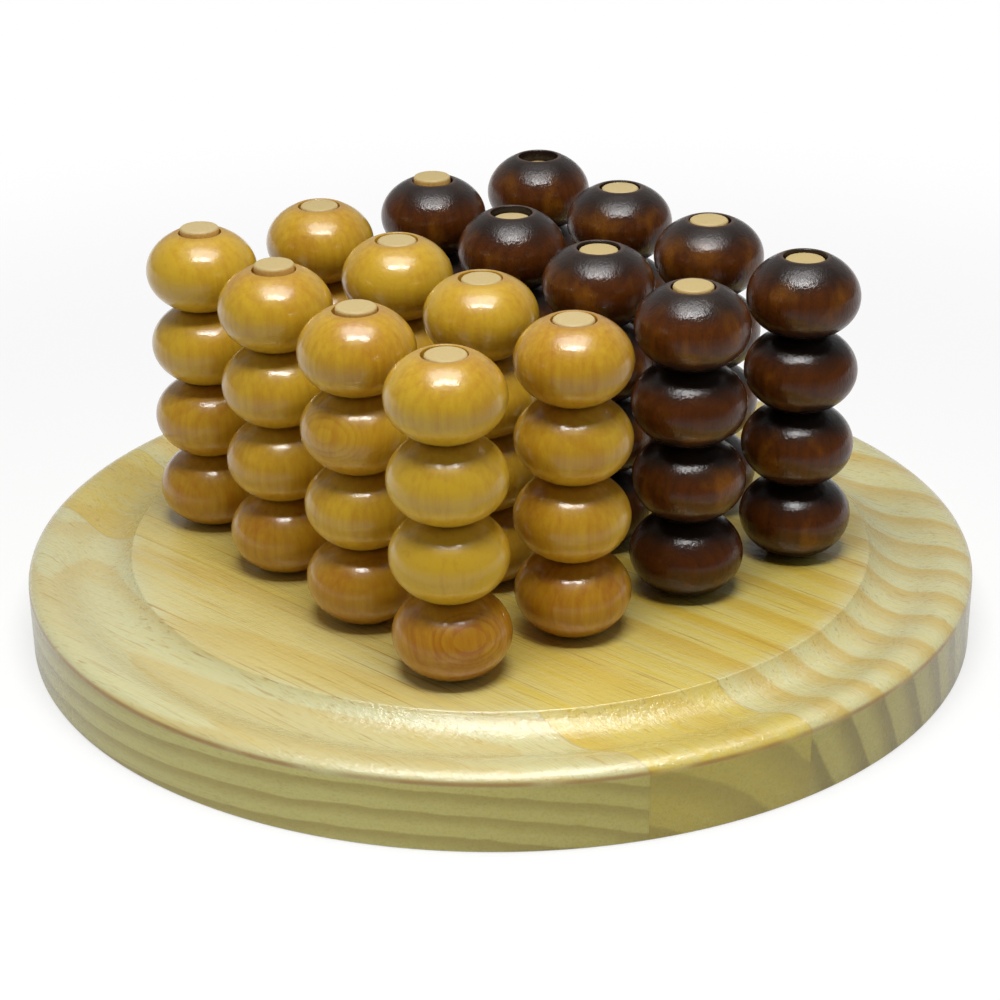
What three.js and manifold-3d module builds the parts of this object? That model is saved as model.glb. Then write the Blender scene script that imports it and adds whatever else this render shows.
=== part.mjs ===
// Four-in-a-row game in three dimensions: a turned wooden base with sixteen glued pegs, and sixty-four
// bored beads, half light and half dark, that stack four high on the pegs.
// Millimetres, +Z up, origin on the table under the centre of the base. Light beads lie towards -X.
import * as THREE from "three";
import { mergeVertices } from "three/addons/utils/BufferGeometryUtils.js";
import Module from "manifold-3d";

// Beads: oblate balls, cut flat at both ends round the bore.
const beadDiameter = 27.2;
const beadHeight = 19;
const beadEndLand = 0.7;
const boreClearance = 0.45;
const beadsPerPeg = 4;
const columnGap = 7.3;

// Pegs. A peg's end stands a little above or below the top of its stack, as glued by hand: one row of
// the list for each row of pegs from the front, light side first.
const pegDiameter = 9.5;
const pegTipEase = 0.7;
const pegTipProud = [
  [0, 0.1, 0.4, -0.7],
  [0.8, -0.1, -0.4, 0.2],
  [1.4, 0, -1.5, -0.2],
  [1.3, 0.1, 1.1, -2.6],
];

// Base: a flat playing top, a cove groove round it that holds beads out of play, and a rounded rim.
const baseThickness = 20;
const playingTopMargin = 5.2;
const grooveDepth = 4.4;
const coveRun = 9;
const ogeeRun = 12;
const rimDrop = 1;
const rimRoundWidth = 4.5;
const rimRoundHeight = 2.6;
const footEase = 0.6;

// Faceting of the round pieces.
const baseSides = 48;
const pegSides = 12;
const beadSides = 14;
const curveSteps = 4;

// Sizes that follow from the ones above.
const pegsPerSide = pegTipProud.length;
const pegPitch = beadDiameter + columnGap;
const halfSquare = (pegPitch * (pegsPerSide - 1)) / 2;
const stackHeight = beadsPerPeg * beadHeight;
const boreRadius = pegDiameter / 2 + boreClearance;
const playingTopRadius = halfSquare * Math.SQRT2 + beadDiameter / 2 + playingTopMargin;
const grooveFloorRadius = playingTopRadius + coveRun;
const rimCrestRadius = grooveFloorRadius + ogeeRun;
const baseRadius = rimCrestRadius + rimRoundWidth;
const grooveFloorHeight = baseThickness - grooveDepth;
const rimCrestHeight = baseThickness - rimDrop;
const rimEdgeHeight = rimCrestHeight - rimRoundHeight;

// Colours of the lacquered pine, the light beads and the stained beads.
const pineColor = 0xe0c98a;
const lightColor = 0xc8a04e;
const darkColor = 0x4a2413;
const satin = 0.4;
const gloss = 0.25;

const wasm = await Module();
wasm.setup();

// A closed geometry as a manifold solid, with its shared vertices merged.
function toSolid(geometry) {
  const bare = geometry.clone();
  bare.deleteAttribute("normal");
  bare.deleteAttribute("uv");
  const merged = mergeVertices(bare);
  const vertProperties = merged.getAttribute("position").array;
  const triVerts = new Uint32Array(merged.index.array);
  return new wasm.Manifold(new wasm.Mesh({ numProp: 3, vertProperties, triVerts }));
}

// A manifold solid as a geometry again.
function toGeometry(solid) {
  const { vertProperties, triVerts } = solid.getMesh();
  const geometry = new THREE.BufferGeometry();
  geometry.setAttribute("position", new THREE.BufferAttribute(vertProperties, 3));
  geometry.setIndex(new THREE.BufferAttribute(triVerts, 1));
  geometry.computeVertexNormals();
  return geometry;
}

// A profile point, by its distance from the axis and its height.
function point(radius, height) {
  return new THREE.Vector2(radius, height);
}

// An arc of an ellipse in the profile plane, from one angle to another.
function arc(centreRadius, centreHeight, width, height, from, to) {
  const clockwise = to < from;
  const curve = new THREE.EllipseCurve(centreRadius, centreHeight, width, height, from, to, clockwise);
  return curve.getPoints(curveSteps);
}

// A profile turned about +Z.
function turned(profile, sides) {
  return new THREE.LatheGeometry(profile, sides).rotateX(Math.PI / 2);
}

// The rim's outer edge is a quarter round, from the side up to the crest.
function rimRound() {
  return arc(rimCrestRadius, rimEdgeHeight, rimRoundWidth, rimRoundHeight, 0, Math.PI / 2);
}

// The ogee falls from the crest of the rim, level at both ends, to the groove's floor.
function ogee() {
  const fall = rimCrestHeight - grooveFloorHeight;
  const points = [];
  for (let step = 0; step <= curveSteps; step += 1) {
    const share = step / curveSteps;
    const height = rimCrestHeight - (fall * (1 - Math.cos(Math.PI * share))) / 2;
    points.push(point(rimCrestRadius - ogeeRun * share, height));
  }
  return points;
}

// The cove's arc leaves the groove's floor level and rises to the sharp edge of the playing top.
function cove() {
  const turn = 2 * Math.atan2(grooveDepth, coveRun);
  const radius = coveRun / Math.sin(turn);
  const down = -Math.PI / 2;
  return arc(grooveFloorRadius, grooveFloorHeight + radius, radius, radius, down, down - turn);
}

function baseProfile() {
  return [
    point(0, 0),
    point(baseRadius - footEase, 0),
    point(baseRadius, footEase),
    ...rimRound(),
    ...ogee().slice(1),
    ...cove().slice(1),
    point(0, baseThickness),
  ];
}

// A peg starts half-way through the board, and its tip is eased. The playing top is at height 0.
function pegProfile(tipHeight) {
  const radius = pegDiameter / 2;
  const foot = -baseThickness / 2;
  return [
    point(0, foot),
    point(radius, foot),
    point(radius, tipHeight - pegTipEase),
    point(radius - pegTipEase, tipHeight),
    point(0, tipHeight),
  ];
}

// One bead, or a few stacked beads in one piece: each belly is part of an ellipse between two flat ends.
function beadProfile(count) {
  const radius = beadDiameter / 2;
  const endRadius = boreRadius + beadEndLand;
  const endAngle = Math.acos(endRadius / radius);
  const uncutHeight = beadHeight / Math.sin(endAngle);
  const outline = [point(boreRadius, 0)];
  for (let level = 0; level < count; level += 1) {
    const middle = (level + 0.5) * beadHeight;
    const belly = arc(0, middle, radius, uncutHeight / 2, -endAngle, endAngle);
    outline.push(...(level === 0 ? belly : belly.slice(1)));
  }
  return [...outline, point(boreRadius, count * beadHeight), outline[0]];
}

function named(name, geometry, color, roughness) {
  const mesh = new THREE.Mesh(geometry, new THREE.MeshStandardMaterial({ color, roughness, metalness: 0 }));
  mesh.name = name;
  return mesh;
}

// Foot of the peg in a column (along X, light side first) and a row (along Y, front first).
function pegFoot(column, row) {
  return new THREE.Vector3(column * pegPitch - halfSquare, row * pegPitch - halfSquare, baseThickness);
}

// The board with its pegs glued in, as one solid.
function pegBase() {
  let solid = toSolid(turned(baseProfile(), baseSides));
  pegTipProud.forEach((rowOfTips, row) => {
    rowOfTips.forEach((proud, column) => {
      const foot = pegFoot(column, row);
      const peg = turned(pegProfile(stackHeight + proud), pegSides);
      solid = solid.add(toSolid(peg.translate(foot.x, foot.y, foot.z)));
    });
  });
  return named("peg_base", toGeometry(solid), pineColor, satin);
}

// On these pegs, in the middle of the square and at its far corner, the two lowest beads are one solid.
const pairedPegs = ["b2", "b3", "c2", "c3", "d4"];

// The beads on one peg. Columns have letters and rows have numbers; beads count from the bottom.
function beadStack(column, row) {
  const stack = new THREE.Group();
  stack.position.copy(pegFoot(column, row));
  const peg = String.fromCharCode("a".charCodeAt(0) + column) + (row + 1);
  const dark = column >= pegsPerSide / 2;
  let level = 1;
  while (level <= beadsPerPeg) {
    const count = level === 1 && pairedPegs.includes(peg) ? 2 : 1;
    const label = count === 2 ? "pair_" + peg : peg + "_" + level;
    const name = (dark ? "dark_bead_" : "light_bead_") + label;
    const bead = named(name, turned(beadProfile(count), beadSides), dark ? darkColor : lightColor, gloss);
    bead.position.z = (level - 1) * beadHeight;
    stack.add(bead);
    level += count;
  }
  return stack;
}

const game = new THREE.Group();
game.add(pegBase());
for (let column = 0; column < pegsPerSide; column += 1) {
  for (let row = 0; row < pegsPerSide; row += 1) {
    game.add(beadStack(column, row));
  }
}

export default game;
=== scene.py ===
"""Looks of the three-dimensional tic-tac-toe game: a turned pine board, sixteen glued pegs and sixty-four
lacquered beads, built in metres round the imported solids. Sizes in this file are millimetres unless said."""
import math
import random
from typing import NamedTuple

import bpy
import numpy as np
from mathutils import Euler, Matrix, Vector

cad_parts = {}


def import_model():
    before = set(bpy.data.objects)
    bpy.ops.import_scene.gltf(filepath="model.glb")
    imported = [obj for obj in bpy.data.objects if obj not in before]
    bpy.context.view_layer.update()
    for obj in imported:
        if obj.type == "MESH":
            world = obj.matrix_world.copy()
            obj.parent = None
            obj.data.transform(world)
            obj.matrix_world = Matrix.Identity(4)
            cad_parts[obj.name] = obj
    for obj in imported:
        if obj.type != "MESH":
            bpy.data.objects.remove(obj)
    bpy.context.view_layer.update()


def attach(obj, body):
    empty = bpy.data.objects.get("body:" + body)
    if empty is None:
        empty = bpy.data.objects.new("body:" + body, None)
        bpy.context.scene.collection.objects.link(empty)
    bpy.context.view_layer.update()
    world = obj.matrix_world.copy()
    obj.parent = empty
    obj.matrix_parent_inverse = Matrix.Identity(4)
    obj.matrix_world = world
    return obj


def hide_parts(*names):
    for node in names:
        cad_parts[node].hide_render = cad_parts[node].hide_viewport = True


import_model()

MM = 0.001

# Driving sizes of the pieces, the same as those of the solids.
BEAD_RADIUS = 13.6
BEAD_HEIGHT = 19.0
BEAD_END_LAND = 0.7
BORE_CLEARANCE = 0.45
BEADS_PER_PEG = 4
COLUMN_GAP = 7.3
PEG_RADIUS = 4.75
PEG_EASE = 0.7
# How far each peg's tip stands above its stack: rows from the front, light side first.
PEG_TIP_PROUD = (
    (0, 0.1, 0.4, -0.7),
    (0.8, -0.1, -0.4, 0.2),
    (1.4, 0, -1.5, -0.2),
    (1.3, 0.1, 1.1, -2.6),
)
BOARD_TOP = 20.0
TOP_MARGIN = 5.2
GROOVE_DEPTH = 4.4
COVE_RUN = 9.0
OGEE_RUN = 12.0
RIM_DROP = 1.0
RIM_WIDTH = 4.5
RIM_HEIGHT = 2.6
FOOT_EASE = 0.6

# Sizes that follow from them.
PEGS_PER_SIDE = len(PEG_TIP_PROUD)
PEG_PITCH = 2 * BEAD_RADIUS + COLUMN_GAP
HALF_SQUARE = PEG_PITCH * (PEGS_PER_SIDE - 1) / 2
STACK_TOP = BOARD_TOP + BEADS_PER_PEG * BEAD_HEIGHT
BORE_RADIUS = PEG_RADIUS + BORE_CLEARANCE
BEAD_END_RADIUS = BORE_RADIUS + BEAD_END_LAND
TOP_EDGE_RADIUS = round(HALF_SQUARE * math.sqrt(2) + BEAD_RADIUS + TOP_MARGIN, 2)
GROOVE_RADIUS = TOP_EDGE_RADIUS + COVE_RUN
CREST_RADIUS = GROOVE_RADIUS + OGEE_RUN
BOARD_RADIUS = CREST_RADIUS + RIM_WIDTH
GROOVE_Z = BOARD_TOP - GROOVE_DEPTH
CREST_Z = BOARD_TOP - RIM_DROP
RIM_EDGE_Z = CREST_Z - RIM_HEIGHT

# Finer than the solids: each bead is a little short at either end, so that slightly leaning beads don't cut
# into each other, and its bore's mouths are eased.
END_PLAY = 0.055
MOUTH_EASE = 0.24
# The underside's flat ends this far inside the side, and the foot's round starts at this angle in degrees.
FOOT_FLAT_END = 0.8
FOOT_START_ANGLE = -80
# Points of the playing top's edge, a hair rounded: how far outside it and how far below it.
TOP_ARRIS = ((0.22, 0.22), (0.02, 0.06), (-0.25, 0.0))

# Sides of the turned meshes, and steps of their curves.
BOARD_SIDES, PEG_SIDES, BEAD_SIDES = 288, 40, 56
EASE_STEPS, TIP_STEPS, RIM_STEPS, GROOVE_STEPS, BELLY_STEPS = 4, 5, 12, 16, 24
# Places of single points along flat stretches, which keep the shading flat there.
BORE_ROWS = (-3.0, 3.0)
PEG_ROW_BELOW_TIP = 6
UNDERSIDE_ROW = 60
SIDE_ROWS = (5, 10, 14)
TOP_ROWS = (70, 45, 20)
# Edges that turn more sharply than this are shaded as edges.
SHARP_ANGLE = math.radians(32)

# Direction of the board's grain, and across it, in plan.
GRAIN_ANGLE = math.radians(-79)
ALONG = (math.cos(GRAIN_ANGLE), math.sin(GRAIN_ANGLE), 0.0)
ACROSS = (-ALONG[1], ALONG[0], 0.0)

# Horizontal directions towards the camera and to its right.
TO_CAMERA = Vector((-0.591, -0.807, 0.0))
TO_RIGHT = Vector((-TO_CAMERA.y, TO_CAMERA.x, 0.0))


# Meshes


def lathe(name, profile, sides, shape=None):
    """A mesh turned about Z from (radius, height) points, and its points. A closed profile makes a ring with
    a bore, and an open one starts and ends on the axis. shape(points) may bend the points."""
    closed = profile[0][0] > 0
    rows, points = [], []
    for radius, height in profile:
        if radius == 0:
            rows.append([len(points)] * sides)
            points.append((0.0, 0.0, height))
            continue
        first = len(points)
        rows.append([first + k for k in range(sides)])
        for k in range(sides):
            a = 2 * math.pi * k / sides
            points.append((radius * math.cos(a), radius * math.sin(a), height))
    faces = []
    for i in range(len(rows) if closed else len(rows) - 1):
        low, high = rows[i], rows[(i + 1) % len(rows)]
        for k in range(sides):
            n = (k + 1) % sides
            corners = [low[k], low[n], high[n], high[k]]
            # On the axis two corners are the same point, and one of them is left out.
            face = [v for j, v in enumerate(corners) if v != corners[j - 1]]
            if len(face) > 2:
                faces.append(face)
    points = np.array(points, float)
    if shape is not None:
        points = shape(points)
    mesh = bpy.data.meshes.new(name)
    mesh.from_pydata((points * MM).tolist(), [], faces)
    mesh.validate()
    mesh.shade_smooth()
    mesh.set_sharp_from_angle(angle=SHARP_ANGLE)
    return mesh, points


def paint(mesh, wood, tone=0.0, figure=0.0):
    """Stores each point's place in the wood, in millimetres, and the piece's tone and strength of figure."""
    place = mesh.attributes.new("wood", "FLOAT_VECTOR", "POINT")
    place.data.foreach_set("vector", wood.astype(np.float32).ravel())
    for name, value in (("tone", tone), ("figure", figure)):
        layer = mesh.attributes.new(name, "FLOAT", "POINT")
        layer.data.foreach_set("value", np.full(len(wood), value, np.float32))


def add_piece(name, mesh, material, matrix, body, node):
    piece = bpy.data.objects.new(name, mesh)
    bpy.context.scene.collection.objects.link(piece)
    mesh.materials.append(material)
    piece.matrix_world = matrix
    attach(piece, body)
    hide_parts(node)


def arc(cr, cz, width, height, start, end, steps):
    """Points of an ellipse arc round (cr, cz), angles in degrees, both ends included."""
    points = []
    for k in range(steps + 1):
        a = math.radians(start + (end - start) * k / steps)
        points.append((cr + width * math.cos(a), cz + height * math.sin(a)))
    return points


def bead_profile(belly_shift):
    """Closed outline of a bead about its middle: bore, eased mouth, narrow flat end, belly, and back."""
    half = BEAD_HEIGHT / 2 - END_PLAY
    ease = MOUTH_EASE
    end_angle = math.acos(BEAD_END_RADIUS / BEAD_RADIUS)
    uncut = half / math.sin(end_angle)
    points = [(BORE_RADIUS, -half + ease)]
    points += [(BORE_RADIUS, z) for z in BORE_ROWS]
    points += arc(BORE_RADIUS + ease, half - ease, ease, ease, 180, 90, EASE_STEPS)
    for k in range(BELLY_STEPS + 1):
        a = end_angle * (1 - 2 * k / BELLY_STEPS)
        z = uncut * math.sin(a)
        z += belly_shift * (1 - (z / half) ** 2)
        points.append((BEAD_RADIUS * math.cos(a), z))
    points += arc(BORE_RADIUS + ease, -half + ease, ease, ease, -90, -180, EASE_STEPS)[:-1]
    return points[::-1]


def peg_profile(tip):
    """Open outline of a peg from its glued foot to its eased tip, whose height above the table is given."""
    ease = PEG_EASE
    foot = BOARD_TOP / 2
    points = [(0, foot), (PEG_RADIUS, foot), (PEG_RADIUS, BOARD_TOP), (PEG_RADIUS, tip - PEG_ROW_BELOW_TIP)]
    points += arc(PEG_RADIUS - ease, tip - ease, ease, ease, 0, 90, TIP_STEPS)
    points += [(PEG_RADIUS / 2, tip), (0, tip)]
    return points


def board_profile():
    """Open outline of the board: underside, foot, side, rim round, ogee, cove, arris and playing top."""
    points = [(0, 0), (UNDERSIDE_ROW, 0), (BOARD_RADIUS - FOOT_FLAT_END, 0)]
    points += arc(BOARD_RADIUS - FOOT_EASE, FOOT_EASE, FOOT_EASE, FOOT_EASE, FOOT_START_ANGLE, 0, EASE_STEPS)
    points += [(BOARD_RADIUS, z) for z in SIDE_ROWS]
    points += arc(CREST_RADIUS, RIM_EDGE_Z, RIM_WIDTH, RIM_HEIGHT, 0, 90, RIM_STEPS)
    for k in range(1, GROOVE_STEPS + 1):
        share = k / GROOVE_STEPS
        fall = (CREST_Z - GROOVE_Z) * (1 - math.cos(math.pi * share)) / 2
        points.append((CREST_RADIUS - OGEE_RUN * share, CREST_Z - fall))
    turn = 2 * math.atan2(GROOVE_DEPTH, COVE_RUN)
    radius = COVE_RUN / math.sin(turn)
    end = -90 - math.degrees(turn)
    points += arc(GROOVE_RADIUS, GROOVE_Z + radius, radius, radius, -90, end, GROOVE_STEPS)[1:-1]
    points += [(TOP_EDGE_RADIUS + out, BOARD_TOP - down) for out, down in TOP_ARRIS]
    points += [(r, BOARD_TOP) for r in TOP_ROWS]
    points.append((0, BOARD_TOP))
    return points


# Node trees

# Shares of a growth ring's width over which its late wood darkens, and over which it ends.
RING_RISE = (0.25, 0.88)
RING_FALL = (0.90, 1.0)


class Tree:
    """Builds one node tree with short calls. A link or a plain number goes to any input."""

    def __init__(self, owner):
        owner.use_nodes = True
        self.tree = owner.node_tree
        self.tree.nodes.clear()

    def put(self, socket, value):
        if isinstance(value, bpy.types.NodeSocket):
            self.tree.links.new(value, socket)
        elif value is not None:
            socket.default_value = value

    def node(self, kind, **inputs):
        made = self.tree.nodes.new(kind)
        for key, value in inputs.items():
            self.put(made.inputs[key.replace("_", " ")], value)
        return made

    # Numbers and vectors

    def math(self, operation, a, b=None, c=None, clamp=False):
        made = self.node("ShaderNodeMath")
        made.operation = operation
        made.use_clamp = clamp
        for socket, value in zip(made.inputs, (a, b, c)):
            self.put(socket, value)
        return made.outputs[0]

    def plus(self, a, b, clamp=False):
        return self.math("ADD", a, b, clamp=clamp)

    def minus(self, a, b, clamp=False):
        return self.math("SUBTRACT", a, b, clamp=clamp)

    def times(self, a, b):
        return self.math("MULTIPLY", a, b)

    def times_plus(self, a, factor, added):
        return self.math("MULTIPLY_ADD", a, factor, added)

    def most(self, a, b):
        return self.math("MAXIMUM", a, b)

    def size(self, a):
        return self.math("ABSOLUTE", a)

    def reach(self, a, b):
        """Length of the vector with these two parts."""
        return self.math("SQRT", self.plus(self.times(a, a), self.times(b, b)))

    def vector(self, operation, a, b=None):
        made = self.node("ShaderNodeVectorMath")
        made.operation = operation
        self.put(made.inputs[0], a)
        self.put(made.inputs[1], b)
        return made.outputs["Value"] if operation in ("DOT_PRODUCT", "LENGTH") else made.outputs[0]

    def scaled(self, vector, x, y, z):
        return self.vector("MULTIPLY", vector, (x, y, z))

    def parts(self, vector):
        made = self.node("ShaderNodeSeparateXYZ", Vector=vector)
        return made.outputs[0], made.outputs[1], made.outputs[2]

    def join(self, x, y, z):
        return self.node("ShaderNodeCombineXYZ", X=x, Y=y, Z=z).outputs[0]

    def blend(self, factor, a, b):
        """A number between a and b."""
        made = self.node("ShaderNodeMix")
        made.data_type = "FLOAT"
        self.put(made.inputs["Factor"], factor)
        self.put(made.inputs[2], a)
        self.put(made.inputs[3], b)
        return made.outputs[0]

    def smooth(self, value, low, high, start=0.0, end=1.0):
        """A smooth step of value from start at low to end at high."""
        made = self.node("ShaderNodeMapRange")
        made.interpolation_type = "SMOOTHSTEP"
        settings = {"Value": value, "From Min": low, "From Max": high, "To Min": start, "To Max": end}
        for key, item in settings.items():
            self.put(made.inputs[key], item)
        return made.outputs[0]

    # Patterns in the wood

    def attribute(self, name, output):
        made = self.node("ShaderNodeAttribute")
        made.attribute_name = name
        return made.outputs[output]

    def place(self):
        """Place in the wood, as painted on the mesh."""
        return self.attribute("wood", "Vector")

    def painted(self, name):
        """A number that was painted on the mesh."""
        return self.attribute(name, "Fac")

    def noise(self, vector, scale, detail=2.0, roughness=0.5):
        made = self.node("ShaderNodeTexNoise", Vector=vector, Scale=scale, Detail=detail,
                         Roughness=roughness)
        return made.outputs[0]

    def wander(self, vector, scale):
        """Noise about zero."""
        return self.minus(self.noise(vector, scale), 0.5)

    def rings(self, distance, spacing):
        """Growth rings by the distance from the pith: 0 in early wood, 1 in late wood, then a quick fall."""
        turn = self.math("FRACT", self.math("DIVIDE", distance, spacing))
        rise = self.smooth(turn, *RING_RISE)
        fall = self.smooth(turn, *RING_FALL, 1.0, 0.0)
        return self.times(rise, fall)

    def bump(self, height, strength, distance):
        made = self.node("ShaderNodeBump", Strength=strength, Distance=distance * MM, Height=height)
        return made.outputs[0]

    # Colours and shaders

    def mix(self, factor, a, b, blend="MIX"):
        made = self.node("ShaderNodeMix")
        made.data_type = "RGBA"
        made.blend_type = blend
        self.put(made.inputs["Factor"], factor)
        self.put(made.inputs[6], a)
        self.put(made.inputs[7], b)
        return made.outputs[2]

    def tint(self, colour, mask, strength, towards, blend="MIX"):
        """The colour mixed with another one by the mask times a strength."""
        return self.mix(self.times(mask, strength), colour, towards, blend)

    def matte(self, colour):
        return self.node("ShaderNodeBsdfDiffuse", Color=colour).outputs[0]

    def glow(self, strength):
        return self.node("ShaderNodeEmission", Color=WHITE, Strength=strength).outputs[0]

    def shader_pair(self, kind, a, b, **inputs):
        """Two shaders added or mixed. Their sockets are the last two."""
        made = self.node(kind, **inputs)
        self.put(made.inputs[-2], a)
        self.put(made.inputs[-1], b)
        return made.outputs[0]

    def output(self, kind, shader):
        self.put(self.node(kind).inputs[0], shader)

    def surface(self, **inputs):
        self.output("ShaderNodeOutputMaterial", self.node("ShaderNodeBsdfPrincipled", **inputs).outputs[0])


def rgb(r, g, b):
    return (r, g, b, 1.0)


WHITE = rgb(1, 1, 1)
LACQUER_IOR = 1.5


# Light beads

HONEY_PALE = rgb(0.590, 0.362, 0.020)
HONEY_DEEP = rgb(0.385, 0.136, 0.002)
HONEY_FIBRE = rgb(0.40, 0.18, 0.01)
HONEY_END = rgb(0.34, 0.17, 0.04)

# How far the rings of a bead wander, and their spacing.
BEAD_RING_WANDER = 3.2
LIGHT_RING_SPACING = 2.3
# The same for a bead that shows its rings as ovals, with the distance from the pith to its middle, the
# stretch past its middle over which the ovals come in, and the strengths of figure from which it is one.
OVAL_RING_WANDER = 0.5
OVAL_RING_SPACING = 0.65
OVAL_PITH = 46.0
OVAL_STRETCH = (9.5, 12.0)
OVAL_FROM = (0.3, 0.5)
# Heights from the bead's middle over which its cut ends darken.
LIGHT_END = (8.6, 9.6)


def light_bead_material():
    """Clear-lacquered close-grained wood: faint growth rings, fine fibres and a warm honey colour."""
    material = bpy.data.materials.new("light_bead_lacquer")
    t = Tree(material)
    wood, tone, figure = t.place(), t.painted("tone"), t.painted("figure")
    x, y, z = t.parts(wood)
    radius = t.reach(x, y)
    oval = t.smooth(figure, *OVAL_FROM)
    wander = t.wander(t.scaled(wood, 1, 1, 0.45), 0.11)
    distance = t.times_plus(wander, t.blend(oval, BEAD_RING_WANDER, OVAL_RING_WANDER), radius)
    ring = t.rings(distance, t.blend(oval, LIGHT_RING_SPACING, OVAL_RING_SPACING))
    oval_low, oval_high = (OVAL_PITH + past for past in OVAL_STRETCH)
    near_oval = t.blend(oval, 1.0, t.smooth(radius, oval_low, oval_high))
    ringed = t.times(t.times(ring, near_oval), t.blend(figure, 0.07, 0.34))
    patch = t.noise(t.scaled(wood, 1, 1, 0.3), 0.10)
    streak = t.noise(t.scaled(wood, 1, 1, 0.06), 0.75, detail=4.0, roughness=0.6)
    fibre = t.noise(t.scaled(wood, 1, 1, 0.05), 3.2, detail=3.0, roughness=0.65)
    shade = t.plus(ringed, t.plus(streak, t.times(patch, 1.1)))
    # The tone deepens the colour; on the lower beads it is partly painted shade.
    shade = t.plus(shade, t.times_plus(tone, 0.72, -1.08), clamp=True)
    colour = t.mix(shade, HONEY_PALE, HONEY_DEEP)
    colour = t.tint(colour, t.smooth(fibre, 0.60, 0.74), 0.34, HONEY_FIBRE)
    colour = t.tint(colour, t.smooth(t.size(z), *LIGHT_END), 0.35, HONEY_END)
    peel = t.noise(wood, 1.3, detail=3.0, roughness=0.6)
    dents = t.noise(wood, 0.45)
    height = t.times_plus(peel, 0.8, t.times_plus(dents, 0.8, t.times(fibre, 0.35)))
    t.surface(Base_Color=colour, Roughness=t.times_plus(streak, 0.20, 0.26), Specular_IOR_Level=0.34,
              IOR=LACQUER_IOR, Coat_Weight=0.85, Coat_Roughness=0.075, Coat_IOR=LACQUER_IOR,
              Normal=t.bump(height, 0.6, 0.12), Coat_Normal=t.bump(height, 0.6, 0.08))
    return material


# Dark beads

STAIN_BROWN = rgb(0.112, 0.029, 0.003)
STAIN_DEEP = rgb(0.034, 0.009, 0.002)
STAIN_AMBER = rgb(0.235, 0.082, 0.006)
STAIN_PORE = rgb(0.030, 0.010, 0.006)
STAIN_END = rgb(0.012, 0.009, 0.008)
STAIN_LIP = rgb(0.10, 0.045, 0.020)

DARK_RING_SPACING = 2.6
# Heights from the bead's middle over which the end grain turns nearly black, and how ragged that edge is.
DARK_END = (2.4, 8.2)
DARK_END_RAGGED = 3.6
# Heights over which the worn lip of the bore shows.
DARK_LIP = (9.25, 9.5)


def dark_bead_material():
    """Stained and lacquered wood: near-black end grain, a red-brown belly with amber patches, open pores."""
    material = bpy.data.materials.new("dark_bead_lacquer")
    t = Tree(material)
    wood, tone = t.place(), t.painted("tone")
    x, y, z = t.parts(wood)
    wander = t.wander(t.scaled(wood, 1, 1, 0.45), 0.11)
    ring = t.rings(t.times_plus(wander, BEAD_RING_WANDER, t.reach(x, y)), DARK_RING_SPACING)
    patch = t.noise(t.scaled(wood, 1, 1, 0.6), 0.115, roughness=0.55)
    streak = t.noise(t.scaled(wood, 1, 1, 0.08), 0.7, detail=4.0, roughness=0.6)
    pores = t.noise(t.scaled(wood, 1, 1, 0.25), 2.1, detail=3.0, roughness=0.6)
    # The tone deepens the colour; on the lower beads it is partly painted shade.
    shade = t.times_plus(ring, 0.20, t.times_plus(streak, 0.45, t.times(tone, 0.35)))
    colour = t.mix(t.minus(shade, 0.10, clamp=True), STAIN_BROWN, STAIN_DEEP)
    colour = t.tint(colour, t.smooth(t.times_plus(tone, -0.12, patch), 0.48, 0.68), 0.72, STAIN_AMBER)
    colour = t.tint(colour, t.smooth(pores, 0.52, 0.72), 0.45, STAIN_PORE)
    height_in_bead = t.size(z)
    edge = t.minus(t.noise(t.scaled(wood, 1, 1, 0.5), 0.16, detail=3.0), 0.5)
    ragged = t.times_plus(edge, DARK_END_RAGGED, height_in_bead)
    colour = t.tint(colour, t.smooth(ragged, *DARK_END), 0.93, STAIN_END)
    colour = t.tint(colour, t.smooth(height_in_bead, *DARK_LIP), 0.5, STAIN_LIP)
    height = t.times_plus(pores, 0.9, t.times(t.noise(wood, 0.6), 0.8))
    t.surface(Base_Color=colour, Roughness=t.times_plus(pores, 0.25, 0.34), Specular_IOR_Level=0.06,
              IOR=LACQUER_IOR, Coat_Weight=0.75, Coat_Roughness=0.085, Coat_IOR=LACQUER_IOR,
              Normal=t.bump(height, 0.9, 0.20), Coat_Normal=t.bump(height, 0.9, 0.10))
    return material


# Pegs

DOWEL_PALE = rgb(0.72, 0.45, 0.13)
DOWEL_DEEP = rgb(0.54, 0.27, 0.05)
SAWN_PALE = rgb(0.59, 0.472, 0.24)
SAWN_DEEP = rgb(0.51, 0.36, 0.14)
SAWN_AGED = rgb(0.50, 0.37, 0.14)

DOWEL_RING_WANDER = 1.2
DOWEL_RING_SPACING = 1.5
# Depths below the tip over which the sawn end gives way to the side.
SAWN_DEPTH = (0.15, 0.85)


def peg_material():
    """Bare dowel: a pale sawn end with faint rings, and honey-coloured sides. Wood z is the depth below the
    tip."""
    material = bpy.data.materials.new("peg_dowel")
    t = Tree(material)
    wood, tone = t.place(), t.painted("tone")
    x, y, z = t.parts(wood)
    ring = t.rings(t.times_plus(t.wander(wood, 0.25), DOWEL_RING_WANDER, t.reach(x, y)), DOWEL_RING_SPACING)
    fibre = t.noise(t.scaled(wood, 1, 1, 0.05), 2.2, detail=3.0, roughness=0.6)
    saw = t.noise(t.scaled(wood, 0.5, 4.0, 1.0), 0.9, detail=3.0)
    side = t.mix(fibre, DOWEL_PALE, DOWEL_DEEP)
    end = t.mix(t.times_plus(ring, 0.16, t.times(saw, 0.45)), SAWN_PALE, SAWN_DEEP)
    end = t.tint(end, tone, 0.6, SAWN_AGED)
    colour = t.mix(t.smooth(z, *SAWN_DEPTH), end, side)
    t.surface(Base_Color=colour, Roughness=t.times_plus(fibre, 0.2, 0.38), Specular_IOR_Level=0.4,
              Normal=t.bump(t.plus(saw, fibre), 0.5, 0.12))
    return material


# Board

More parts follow.
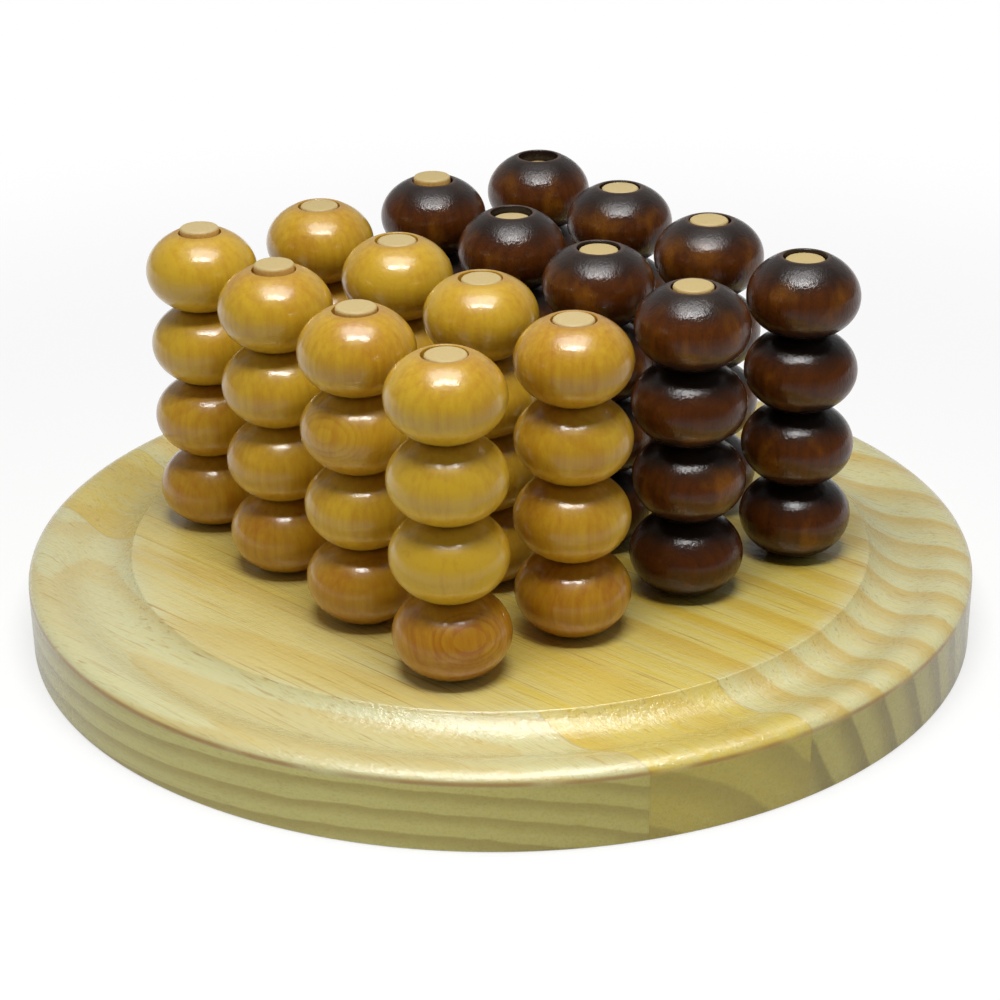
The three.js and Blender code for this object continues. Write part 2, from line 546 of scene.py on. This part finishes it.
PINE_PALE = rgb(0.685, 0.655, 0.355)
PINE_GOLD = rgb(0.715, 0.520, 0.030)
PINE_RING = rgb(0.600, 0.360, 0.017)
PINE_FIBRE = rgb(0.42, 0.25, 0.04)
PINE_HAIR = rgb(0.40, 0.21, 0.03)
PINE_RESIN = rgb(0.20, 0.11, 0.03)
PINE_GLUE = rgb(0.34, 0.20, 0.05)
SIDE_PORE = rgb(0.220, 0.170, 0.015)
SIDE_SOAKED = rgb(0.375, 0.310, 0.024)
SIDE_RING = rgb(0.230, 0.180, 0.020)
SIDE_CAST = rgb(1.0, 0.97, 0.55)
SCORCHED = rgb(0.36, 0.17, 0.02)
PINE_COAT_IOR = 1.7

# Distances from the board's axis over which the playing top ends, the groove starts and the side starts, and
# heights under which the side lies.
TOP_ENDS = (88.0, 94.0)
GROOVE_STARTS = (90.0, 96.0)
SIDE_STARTS = (114.0, 116.5)
SIDE_BELOW = (15.6, 17.0)
# Places across the grain over which the painted shade on the playing top comes in, and over which it deepens.
PAINTED_TOP_SHADE_FROM = (-105.0, -50.0)
PAINTED_TOP_SHADE_DEEPENS = (-40.0, 10.0)
# The scorched line: distances from the axis from which it shows, its height, and how far off it fades.
SCORCH_STARTS = (116.0, 117.2)
SCORCH_Z = RIM_EDGE_Z + 0.3
SCORCH_FADES = (0.10, 0.90)
# Distances from a glue line over which it fades.
GLUE_FADES = (0.12, 0.45)
# How far rings wander in long and in short waves.
PINE_SLOW_WANDER = 4.5
PINE_FINE_WANDER = 1.2


class Strip(NamedTuple):
    """A strip of the board, with places across the grain and in height."""
    left: float
    right: float
    pith_across: float
    pith_z: float
    # How much the pith rises along the grain.
    climb: float
    ring_spacing: float
    ring_strength: float
    # How golden the wood is at the left and at the right.
    gold: tuple


# From left to right. The first strip's wood goes on past its left, and the last one's past its right.
STRIPS = (
    Strip(-108.0, -62.0, -108.0, -108.0, 0.045, 5.5, 0.30, (0.00, 0.08)),
    Strip(-62.0, -25.0, -82.0, -42.0, -0.010, 13.0, 0.28, (0.64, 0.64)),
    Strip(-25.0, 80.0, -119.0, -42.0, 0.012, 11.0, 0.55, (0.16, 0.12)),
)


def strip_figure(t, u, v, z, grain):
    """Growth rings, golden shade and glue lines over all strips. Each has its own pith, so that the rings on
    the top meet those on the side."""
    slow = t.wander(t.scaled(grain, 0.5, 0.10, 0.5), 0.055)
    fine = t.wander(t.scaled(grain, 1.0, 0.06, 1.0), 0.22)

    def wood_of(strip):
        height = t.minus(t.times_plus(v, -strip.climb, z), strip.pith_z)
        distance = t.reach(height, t.minus(u, strip.pith_across))
        distance = t.times_plus(slow, PINE_SLOW_WANDER, t.times_plus(fine, PINE_FINE_WANDER, distance))
        ring = t.times(t.rings(distance, strip.ring_spacing), strip.ring_strength)
        return ring, t.smooth(u, strip.left, strip.right, *strip.gold)

    ring, gold = wood_of(STRIPS[0])
    glue = 0.0
    for strip in STRIPS[1:]:
        own_ring, own_gold = wood_of(strip)
        beyond = t.math("GREATER_THAN", u, strip.left)
        ring = t.blend(beyond, ring, own_ring)
        gold = t.blend(beyond, gold, own_gold)
        glue = t.most(glue, t.smooth(t.size(t.minus(u, strip.left)), *GLUE_FADES, 1.0, 0.0))
    return ring, gold, glue


def side_colour(t, colour, ring, side, wood, v, radius):
    """End grain on the side takes up more finish, most where the side cuts straight across the grain."""
    cut = t.size(t.math("DIVIDE", v, t.most(radius, 1.0)))
    soak = t.times(side, t.smooth(cut, 0.35, 1.0, 0.30, 0.75))
    pore = t.smooth(t.noise(wood, 1.4, detail=3.0, roughness=0.65), 0.44, 0.70)
    colour = t.tint(colour, t.times(soak, pore), 0.40, SIDE_PORE)
    colour = t.mix(soak, colour, t.mix(0.78, colour, SIDE_SOAKED))
    colour = t.tint(colour, t.times(ring, side), 1.4, SIDE_RING)
    return t.tint(colour, side, 0.9, SIDE_CAST, "MULTIPLY")


def scorch(t, wood, z, radius):
    """A broken line that the cutter scorched where the rim's round meets the side."""
    line = t.smooth(t.size(t.minus(z, SCORCH_Z)), *SCORCH_FADES, 1.0, 0.0)
    line = t.times(t.smooth(radius, *SCORCH_STARTS), line)
    return t.times(line, t.smooth(t.noise(wood, 0.045), 0.30, 0.54))


def board_material():
    """Edge-glued pine under lacquer, with each strip's own grain and darker end grain on the side."""
    material = bpy.data.materials.new("board_pine")
    t = Tree(material)
    wood = t.place()
    x, y, z = t.parts(wood)
    u = t.vector("DOT_PRODUCT", wood, ACROSS)
    v = t.vector("DOT_PRODUCT", wood, ALONG)
    grain = t.join(u, v, z)
    ring, gold, glue = strip_figure(t, u, v, z, grain)
    radius = t.reach(x, y)
    side = t.times(t.smooth(radius, *SIDE_STARTS), t.smooth(z, *SIDE_BELOW, 1.0, 0.0))
    streak = t.noise(t.scaled(grain, 1.0, 0.025, 1.0), 0.45, detail=4.0, roughness=0.6)
    fibre = t.noise(t.scaled(grain, 1.0, 0.03, 1.0), 2.4, detail=3.0, roughness=0.6)
    # The playing top, among the stacks, is painted more golden than its groove and rim: painted shade and
    # warm light bounced from the beads.
    painted_top_shade = t.times(t.smooth(radius, *TOP_ENDS, 0.8, 0.0), t.smooth(u, *PAINTED_TOP_SHADE_FROM, 0.35, 1.0))
    gold = t.blend(painted_top_shade, gold, t.smooth(u, *PAINTED_TOP_SHADE_DEEPENS, 0.62, 0.80))
    shade = t.plus(gold, t.times_plus(streak, 0.85, -0.445), clamp=True)
    colour = t.mix(shade, PINE_PALE, PINE_GOLD)
    colour = t.mix(ring, colour, PINE_RING)
    colour = t.tint(colour, t.smooth(fibre, 0.52, 0.72), 0.34, PINE_FIBRE)
    # Long hair lines, fainter in the groove and on the rim, and faintest on the side.
    hair = t.noise(t.scaled(grain, 1.0, 0.014, 1.0), 1.25, roughness=0.6)
    hair_strength = t.blend(side, t.smooth(radius, *GROOVE_STARTS, 0.72, 0.36), 0.10)
    colour = t.tint(colour, t.smooth(hair, 0.60, 0.70), hair_strength, PINE_HAIR)
    # Short dark resin flecks along the grain, in a few places.
    dash = t.noise(t.scaled(grain, 1.0, 0.16, 1.0), 0.95)
    sparse = t.smooth(t.noise(grain, 0.03, detail=1.0), 0.46, 0.60)
    colour = t.tint(colour, t.times(t.smooth(dash, 0.695, 0.735), sparse), 0.20, PINE_RESIN)
    colour = t.tint(colour, glue, 0.20, PINE_GLUE)
    colour = side_colour(t, colour, ring, side, wood, v, radius)
    colour = t.tint(colour, scorch(t, wood, z, radius), 0.78, SCORCHED)
    relief = t.times_plus(ring, 0.9, t.times_plus(fibre, 0.45, t.noise(wood, 0.22)))
    gloss_relief = t.times_plus(fibre, 0.8, t.noise(wood, 0.6, detail=3.0))
    t.surface(Base_Color=colour, Roughness=t.times_plus(streak, 0.16, 0.20), Specular_IOR_Level=0.12,
              IOR=LACQUER_IOR, Coat_Weight=1.0, Coat_Roughness=0.13, Coat_IOR=PINE_COAT_IOR,
              Normal=t.bump(relief, 0.4, 0.12), Coat_Normal=t.bump(gloss_relief, 0.9, 0.26))
    return material


# The game

board_pine = board_material()
dowel = peg_material()
lacquers = {"light": light_bead_material(), "dark": dark_bead_material()}

draw = random.Random(4416)
figure_draw = random.Random(64)

# On these pegs the two lowest beads ride on one body.
PAIRED_PEGS = ("b2", "b3", "c2", "c3", "d4")

# How deep in colour the beads are, from the lowest up: on the pegs at the front, and elsewhere on average.
# Besides each bead's own tone, the lower beads are made deeper as painted shade, darker towards the foot of
# each stack.
FRONT_TONES_AND_PAINTED_SHADE = {
    "a1": (1.0, 0.05, 0.10, 0.22),
    "b1": (0.85, 0.55, 0.48, 0.58),
    "a2": (0.85, 0.25, 0.50, 0.45),
    "a3": (0.80, 0.42, 0.30, 0.30),
    "a4": (0.72, 0.62, 0.30, 0.10),
}
USUAL_TONES_AND_PAINTED_SHADE = (0.62, 0.45, 0.35, 0.28)
FRONT_TONE_SPREAD = 0.05
USUAL_TONE_SPREAD = 0.28

# How much beads and pegs differ: out of round as a share, shift of the belly, distance from the pith,
# strength of figure, lean in degrees, shift on the peg, and a peg's own distance from its pith.
OUT_OF_ROUND = 0.006
BELLY_SHIFT = 0.45
PITH_NEAREST, PITH_FARTHEST = 5, 34
FAINT_FIGURE = 0.28
LEAN = 0.36
SEAT_SHIFT = 0.25
PEG_PITH_SHIFT = 3


class Oval(NamedTuple):
    """Growth rings that show as ovals: the direction of their middle in plan and its rise, in degrees, and
    how strongly they show."""
    direction: float
    rise: float
    strength: float


OVALS = {("a1", 1): Oval(254, 28, 0.85), ("a2", 3): Oval(200, 18, 0.55)}


def either_way(most):
    return draw.uniform(-most, most)


def turned_bead(name):
    """A bead's mesh and points, a little out of round and with its belly a little off the middle."""
    flat, turn = draw.uniform(0, OUT_OF_ROUND), draw.uniform(0, math.pi)

    def uneven(points):
        a = np.arctan2(points[:, 1], points[:, 0])
        scale = 1 - flat * (1 + np.cos(2 * (a - turn))) / 2
        return points * np.stack([scale, scale, np.ones(len(points))], 1)

    return lathe(name, bead_profile(either_way(BELLY_SHIFT)), BEAD_SIDES, uneven)


def paint_bead(mesh, points, peg, level):
    """Cuts a bead from its tree: the pith's direction and distance, the tone, which on the lower beads is
    partly painted shade, and the strength of figure.
    """
    spin = draw.uniform(0, 2 * math.pi)
    pith = draw.uniform(PITH_NEAREST, PITH_FARTHEST)
    spread = FRONT_TONE_SPREAD if peg in FRONT_TONES_AND_PAINTED_SHADE else USUAL_TONE_SPREAD
    tone = FRONT_TONES_AND_PAINTED_SHADE.get(peg, USUAL_TONES_AND_PAINTED_SHADE)[level - 1] + either_way(spread)
    oval = OVALS.get((peg, level))
    if oval is not None:
        spin, pith = -math.radians(oval.direction), OVAL_PITH
    wood = points @ np.array(Matrix.Rotation(-spin, 3, "Z"))
    if oval is not None:
        rise = math.radians(oval.rise)
        wood[:, 0] = wood[:, 0] * math.cos(rise) + wood[:, 2] * math.sin(rise)
    wood = wood + np.array((pith, 0, 0))
    paint(mesh, wood, tone, figure_draw.uniform(0.0, FAINT_FIGURE) if oval is None else oval.strength)


def place_bead(peg, kind, x, y, level):
    """One bead of a stack, a little shifted and tilted on its peg."""
    name = f"{kind}_turned_{peg}_{level}"
    paired = peg in PAIRED_PEGS and level <= 2
    body = f"{kind}_bead_" + (f"pair_{peg}" if paired else f"{peg}_{level}")
    mesh, points = turned_bead(name)
    paint_bead(mesh, points, peg, level)
    lean = Euler((math.radians(either_way(LEAN)), math.radians(either_way(LEAN)), 0))
    shift = Vector((either_way(SEAT_SHIFT), either_way(SEAT_SHIFT), 0))
    middle = Vector((x, y, BOARD_TOP + (level - 0.5) * BEAD_HEIGHT)) + shift
    matrix = Matrix.Translation(middle * MM) @ lean.to_matrix().to_4x4()
    add_piece(name, mesh, lacquers[kind], matrix, body, body)


def place_peg(peg, x, y, tip):
    name = "peg_" + peg
    mesh, points = lathe(name, peg_profile(tip), PEG_SIDES)
    pith = np.array((either_way(PEG_PITH_SHIFT), either_way(PEG_PITH_SHIFT), tip))
    paint(mesh, points * np.array((1, 1, -1)) + pith, draw.random())
    matrix = Matrix.Translation((x * MM, y * MM, 0))
    add_piece(name, mesh, dowel, matrix, "base", "peg_base")


def place_board():
    mesh, points = lathe("board", board_profile(), BOARD_SIDES)
    paint(mesh, points)
    add_piece("board", mesh, board_pine, Matrix.Identity(4), "base", "peg_base")


place_board()
for row in range(PEGS_PER_SIDE):
    for column in range(PEGS_PER_SIDE):
        peg = "abcd"[column] + str(row + 1)
        kind = "light" if column < PEGS_PER_SIDE / 2 else "dark"
        x, y = column * PEG_PITCH - HALF_SQUARE, row * PEG_PITCH - HALF_SQUARE
        place_peg(peg, x, y, STACK_TOP + PEG_TIP_PROUD[row][column])
        for level in range(1, BEADS_PER_PEG + 1):
            place_bead(peg, kind, x, y, level)


# Stage, lamps and camera, in metres

FLOOR_SIZE = 4.0
FLOOR_CELLS = 24
FLOOR_CLOTH = rgb(0.82, 0.82, 0.80)
# The floor as the camera sees it near the game: how it takes shadow, its own glow, and the distances from
# the middle over which it turns plain white.
FLOOR_SHADOWED = rgb(0.30, 0.30, 0.30)
FLOOR_GLOW = 0.70
FLOOR_WHITENS = (0.14, 0.45)
# Its level in gloss, on the camera's side and on the far side, this far from the middle.
FLOOR_GLOSS = (0.25, 1.0)
FLOOR_GLOSS_REACH = 0.30

# Levels of the world: for light, from the near side to the far side and added at both sides of the view, and
# for gloss, from the near side to the far side and added overhead.
FILL_NEAR_TO_FAR = (0.06, 0.17)
FILL_AT_SIDES = 0.46
GLOSS_NEAR_TO_FAR = (0.06, 0.36)
GLOSS_OVERHEAD = 1.1

# The camera, as fitted to the photo.
CAMERA_PLACE = (-0.32823, -0.44818, 0.28232)
CAMERA_RIGHT = Vector((0.80425, -0.59422, -0.00893))
CAMERA_UP = Vector((0.26024, 0.33863, 0.90421))
CAMERA_LENS = 87.73
CAMERA_SENSOR = 36.0
CAMERA_SHIFT_Y = 0.0312


def floor_mesh():
    points, faces = [], []
    for i in range(FLOOR_CELLS + 1):
        for j in range(FLOOR_CELLS + 1):
            points.append(((i / FLOOR_CELLS - 0.5) * FLOOR_SIZE, (j / FLOOR_CELLS - 0.5) * FLOOR_SIZE, 0.0))
    row = FLOOR_CELLS + 1
    for i in range(FLOOR_CELLS):
        for j in range(FLOOR_CELLS):
            a = i * row + j
            faces.append((a, a + row, a + row + 1, a + 1))
    mesh = bpy.data.meshes.new("floor")
    mesh.from_pydata(points, [], faces)
    return mesh


def floor_material():
    """Pale cloth for the light. Seen or mirrored it is white, with a soft shadow round the game, and in
    gloss it dims on the camera's side."""
    material = bpy.data.materials.new("pale_floor")
    t = Tree(material)
    path = t.node("ShaderNodeLightPath").outputs
    seen = t.most(path["Is Camera Ray"], path["Is Transmission Ray"])
    seen = t.most(seen, path["Is Glossy Ray"])
    place = t.node("ShaderNodeTexCoord").outputs["Object"]
    far = t.smooth(t.vector("LENGTH", place), *FLOOR_WHITENS)
    behind = t.vector("DOT_PRODUCT", place, tuple(-TO_CAMERA))
    gloss = t.smooth(behind, -FLOOR_GLOSS_REACH, FLOOR_GLOSS_REACH, *FLOOR_GLOSS)
    level = t.blend(path["Is Glossy Ray"], 1.0, gloss)
    shadowed = t.matte(FLOOR_SHADOWED)
    near_game = t.shader_pair("ShaderNodeAddShader", shadowed, t.glow(t.times(level, FLOOR_GLOW)))
    shown = t.shader_pair("ShaderNodeMixShader", near_game, t.glow(level), Fac=far)
    t.output("ShaderNodeOutputMaterial",
             t.shader_pair("ShaderNodeMixShader", t.matte(FLOOR_CLOTH), shown, Fac=seen))
    return material


def floor():
    mesh = floor_mesh()
    mesh.materials.append(floor_material())
    made = bpy.data.objects.new("floor", mesh)
    bpy.context.scene.collection.objects.link(made)


def world():
    """White behind everything for the camera. Light comes more from the far side and from both sides of the
    view, and gloss mirrors a brighter far side and a bright patch overhead."""
    made = bpy.data.worlds.new("studio")
    bpy.context.scene.world = made
    t = Tree(made)
    direction = t.node("ShaderNodeTexCoord").outputs["Generated"]
    path = t.node("ShaderNodeLightPath").outputs
    away = t.vector("DOT_PRODUCT", direction, tuple(-TO_CAMERA))
    aside = t.size(t.vector("DOT_PRODUCT", direction, tuple(TO_RIGHT)))
    up = t.parts(direction)[2]
    fill = t.smooth(away, -0.35, 0.65, *FILL_NEAR_TO_FAR)
    fill = t.plus(fill, t.smooth(aside, 0.45, 0.95, 0.0, FILL_AT_SIDES))
    gloss = t.smooth(away, 0.10, 0.75, *GLOSS_NEAR_TO_FAR)
    gloss = t.plus(gloss, t.smooth(up, 0.78, 0.98, 0.0, GLOSS_OVERHEAD))
    mirrored = t.most(path["Is Glossy Ray"], path["Is Transmission Ray"])
    level = t.blend(mirrored, fill, gloss)
    strength = t.blend(path["Is Camera Ray"], level, 1.0)
    background = t.node("ShaderNodeBackground", Color=WHITE, Strength=strength)
    t.output("ShaderNodeOutputWorld", background.outputs[0])


def lamp(name, width, depth, towards_camera, height, radiance):
    """A level rectangular lamp over the game, with its width across the view."""
    light = bpy.data.lights.new(name, "AREA")
    light.shape = "RECTANGLE"
    light.size, light.size_y = width, depth
    light.energy = radiance * math.pi * width * depth
    made = bpy.data.objects.new(name, light)
    turn = Matrix.Rotation(math.atan2(TO_RIGHT.y, TO_RIGHT.x), 4, "Z")
    made.matrix_world = Matrix.Translation(TO_CAMERA * towards_camera + Vector((0, 0, height))) @ turn
    bpy.context.scene.collection.objects.link(made)


def camera():
    data = bpy.data.cameras.new("camera")
    data.sensor_width = CAMERA_SENSOR
    data.lens = CAMERA_LENS
    data.shift_y = CAMERA_SHIFT_Y
    made = bpy.data.objects.new("camera", data)
    back = CAMERA_RIGHT.cross(CAMERA_UP)
    turn = Matrix((CAMERA_RIGHT, CAMERA_UP, back)).transposed().to_4x4()
    made.matrix_world = Matrix.Translation(CAMERA_PLACE) @ turn
    bpy.context.scene.collection.objects.link(made)
    bpy.context.scene.camera = made


floor()
world()
lamp("lamp_wide", width=0.46, depth=0.24, towards_camera=0.085, height=0.66, radiance=5.8)
lamp("lamp_near", width=0.36, depth=0.06, towards_camera=0.245, height=0.66, radiance=36.0)
camera()
bpy.context.scene.view_settings.view_transform = "Standard"
